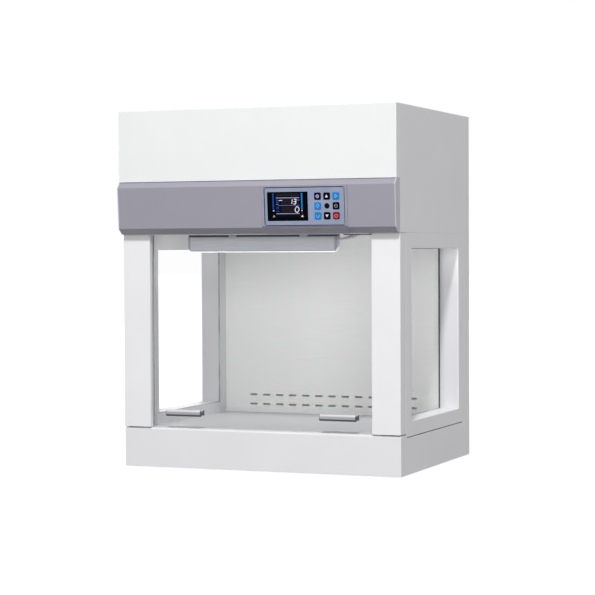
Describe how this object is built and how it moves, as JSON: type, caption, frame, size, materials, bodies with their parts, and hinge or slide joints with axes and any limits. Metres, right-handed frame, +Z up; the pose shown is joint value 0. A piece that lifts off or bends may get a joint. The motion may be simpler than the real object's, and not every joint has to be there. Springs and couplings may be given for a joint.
{
  "type": "benchtop fume hood",
  "caption": "Benchtop fume hood: glazed upright cabinet with a lifting glass sash, side windows, lamp, and a filter and fan housing with a control panel.",
  "frame": {"origin": "centre of the footprint of the overall box, at the underside of the foot pads", "axes": "+X to the right of someone facing the front, +Y from the front to the back, +Z up"},
  "size_m": [0.7, 0.563, 0.85],
  "materials": {
    "cabinet_paint": "fine textured powder coat, off-white",
    "panel_white": "smooth white powder coat",
    "fascia_grey": "satin grey paint",
    "cap_grey": "matte moulded grey",
    "surround_grey": "matte film over sheet",
    "bezel_blue_grey": "fine textured film",
    "display": "gloss dark window over a lit display",
    "receiver": "gloss dark tinted window",
    "key_navy": "matte key cap",
    "key_black": "matte key cap",
    "key_blue": "matte key cap",
    "key_red": "matte key cap",
    "board": "laminate with components",
    "seal": "dark sealing bead",
    "clear_glass": "clear float glass",
    "stainless": "brushed stainless sheet",
    "lamp_cover": "frosted translucent extrusion",
    "lamp_cap": "matte moulded end cap",
    "lamp_tube": "coated glass tube",
    "clip_steel": "spring steel",
    "lead_sheath": "light grey flexible sheath",
    "handle_aluminium": "satin anodised extrusion",
    "track_aluminium": "satin anodised extrusion",
    "bracket_steel": "zinc plated sheet",
    "sheave_plastic": "machined nylon",
    "cable_steel": "stranded steel cable",
    "weight_steel": "mill finish steel bar",
    "filter": "pleated medium in a board frame",
    "deck_steel": "galvanised sheet",
    "fan_plastic": "moulded wheel",
    "motor": "painted motor can",
    "screw_steel": "plated screws",
    "inlet_plastic": "matte moulded black",
    "pad_rubber": "matte rubber"
  },
  "bodies": {
    "cabinet": {"back_skin": "cabinet_paint", "base_apron": "cabinet_paint", "base_floor": "deck_steel", "ceiling_panel": "stainless", "control_bezel": "bezel_blue_grey", "control_board": "board", "control_plate": "surround_grey", "cover_screws": "screw_steel", "display_window": "display", "exhaust_grille": "cabinet_paint", "fan_deck": "deck_steel", "fan_motor": "motor", "fascia": "fascia_grey", "fascia_cap_left": "cap_grey", "fascia_cap_right": "cap_grey", "filter_cassette": "filter", "filter_shelf": "deck_steel", "foot_pads": "pad_rubber", "glazing_seal_left": "seal", "glazing_seal_right": "seal", "inner_back_panel": "stainless", "lamp_caps": "lamp_cap", "lamp_clips": "clip_steel", "lamp_cover": "lamp_cover", "lamp_lead": "lead_sheath", "lamp_tube": "lamp_tube", "motor_bridge": "deck_steel", "plenum_wall": "deck_steel", "power_inlet": "inlet_plastic", "receiver_window": "receiver", "sash_cables": "cable_steel", "sash_track_left": "track_aluminium", "sash_track_right": "track_aluminium", "sheave_brackets": "bracket_steel", "side_glass_left": "clear_glass", "side_glass_right": "clear_glass", "side_skin_left": "cabinet_paint", "side_skin_right": "cabinet_paint", "top_cover": "cabinet_paint", "upper_front_panel": "panel_white", "window_frame_left": "cabinet_paint", "window_frame_right": "cabinet_paint", "worktop": "stainless"},
    "sash": {"sash_glass": "clear_glass", "sash_handle_left": "handle_aluminium", "sash_handle_right": "handle_aluminium", "sash_clamps": "bracket_steel"},
    "weight_left": {"counterweight_left": "weight_steel"},
    "weight_right": {"counterweight_right": "weight_steel"},
    "sheave_left_body": {"sheave_left": "sheave_plastic"},
    "sheave_right_body": {"sheave_right": "sheave_plastic"},
    "fan_rotor": {"fan_wheel": "fan_plastic"},
    "key_down_cap": {"key_down": "key_black"},
    "key_fan_cap": {"key_fan": "key_blue"},
    "key_light_cap": {"key_light": "key_blue"},
    "key_mode_cap": {"key_mode": "key_black"},
    "key_power_cap": {"key_power": "key_red"},
    "key_socket_cap": {"key_socket": "key_blue"},
    "key_timer_cap": {"key_timer": "key_navy"},
    "key_up_cap": {"key_up": "key_black"}
  },
  "joints": [
    {"name": "sash_slide", "type": "slide", "parent": "cabinet", "child": "sash", "axis": [0, 0, 1], "range_m": [0, 0.22], "deforming": ["sash_cables"]},
    {"name": "weight_left_slide", "type": "slide", "parent": "cabinet", "child": "weight_left", "axis": [0, 0, 1], "range_m": [-0.22, 0]},
    {"name": "weight_right_slide", "type": "slide", "parent": "cabinet", "child": "weight_right", "axis": [0, 0, 1], "range_m": [-0.22, 0]},
    {"name": "sheave_left_spin", "type": "hinge", "parent": "cabinet", "child": "sheave_left_body", "pos_m": [-0.299, -0.2185, 0.82], "axis": [0, 1, 0], "range_deg": [-600.7, 0]},
    {"name": "sheave_right_spin", "type": "hinge", "parent": "cabinet", "child": "sheave_right_body", "pos_m": [0.299, -0.2185, 0.82], "axis": [0, 1, 0], "range_deg": [0, 600.7]},
    {"name": "fan_spin", "type": "hinge", "parent": "cabinet", "child": "fan_rotor", "pos_m": [0, 0.0355, 0.745], "axis": [0, 0, 1], "continuous": true},
    {"name": "key_down_press", "type": "slide", "parent": "cabinet", "child": "key_down_cap", "axis": [0, 0.9974, 0.0723], "range_m": [0, 0.0008], "stiffness_N_per_m": 600},
    {"name": "key_fan_press", "type": "slide", "parent": "cabinet", "child": "key_fan_cap", "axis": [0, 0.9974, 0.0723], "range_m": [0, 0.0008], "stiffness_N_per_m": 600},
    {"name": "key_light_press", "type": "slide", "parent": "cabinet", "child": "key_light_cap", "axis": [0, 0.9974, 0.0723], "range_m": [0, 0.0008], "stiffness_N_per_m": 600},
    {"name": "key_mode_press", "type": "slide", "parent": "cabinet", "child": "key_mode_cap", "axis": [0, 0.9974, 0.0723], "range_m": [0, 0.0008], "stiffness_N_per_m": 600},
    {"name": "key_power_press", "type": "slide", "parent": "cabinet", "child": "key_power_cap", "axis": [0, 0.9974, 0.0723], "range_m": [0, 0.0008], "stiffness_N_per_m": 600},
    {"name": "key_socket_press", "type": "slide", "parent": "cabinet", "child": "key_socket_cap", "axis": [0, 0.9974, 0.0723], "range_m": [0, 0.0008], "stiffness_N_per_m": 600},
    {"name": "key_timer_press", "type": "slide", "parent": "cabinet", "child": "key_timer_cap", "axis": [0, 0.9974, 0.0723], "range_m": [0, 0.0008], "stiffness_N_per_m": 600},
    {"name": "key_up_press", "type": "slide", "parent": "cabinet", "child": "key_up_cap", "axis": [0, 0.9974, 0.0723], "range_m": [0, 0.0008], "stiffness_N_per_m": 600}
  ],
  "couplings": [
    {"joint": "weight_left_slide", "follows": "sash_slide", "ratio": -1},
    {"joint": "weight_right_slide", "follows": "sash_slide", "ratio": -1},
    {"joint": "sheave_left_spin", "follows": "sash_slide", "rad_per_m": -47.619},
    {"joint": "sheave_right_spin", "follows": "sash_slide", "rad_per_m": 47.619}
  ]
}
